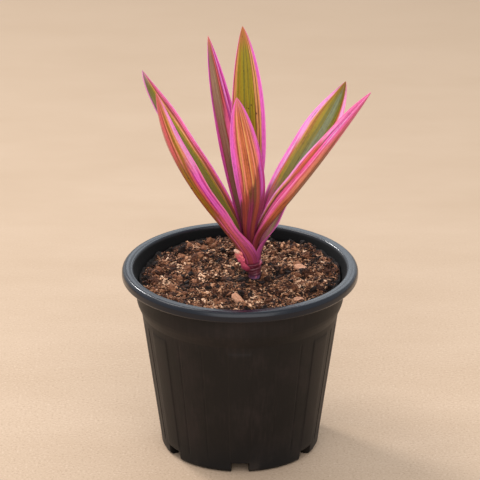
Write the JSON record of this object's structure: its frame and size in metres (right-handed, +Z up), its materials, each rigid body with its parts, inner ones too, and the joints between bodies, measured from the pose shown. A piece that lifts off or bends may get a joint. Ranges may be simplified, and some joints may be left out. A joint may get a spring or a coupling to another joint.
{
  "type": "potted oyster plant",
  "caption": "Young variegated oyster plant with upright pink-edged sword leaves, in loose potting mix in a tapered black plastic nursery pot.",
  "frame": {"origin": "on the surface that the pot stands on, under the middle of the whole object's bounding box, which is 3.2 mm to the right of the pot's own axis", "axes": "+Z up along the pot's axis, +X to the right and -Y towards the viewer in the picture"},
  "size_m": [0.1564, 0.15, 0.277],
  "materials": {
    "pot_plastic": "moulded black polypropylene, satin on the rim and matte below",
    "potting_mix": "rough damp coir and bark crumbs",
    "stem_tissue": "smooth fleshy stem, maroon to pink",
    "leaf_tissue": "waxy leaf striped pink, orange and olive green"
  },
  "bodies": {
    "root": {"pot": "pot_plastic", "soil": "potting_mix", "stem": "stem_tissue", "leaf_left_front": "leaf_tissue", "leaf_right_back": "leaf_tissue", "leaf_right_front": "leaf_tissue", "leaf_left_back": "leaf_tissue", "leaf_front": "leaf_tissue", "leaf_back_left": "leaf_tissue", "leaf_back": "leaf_tissue"}
  },
  "joints": []
}
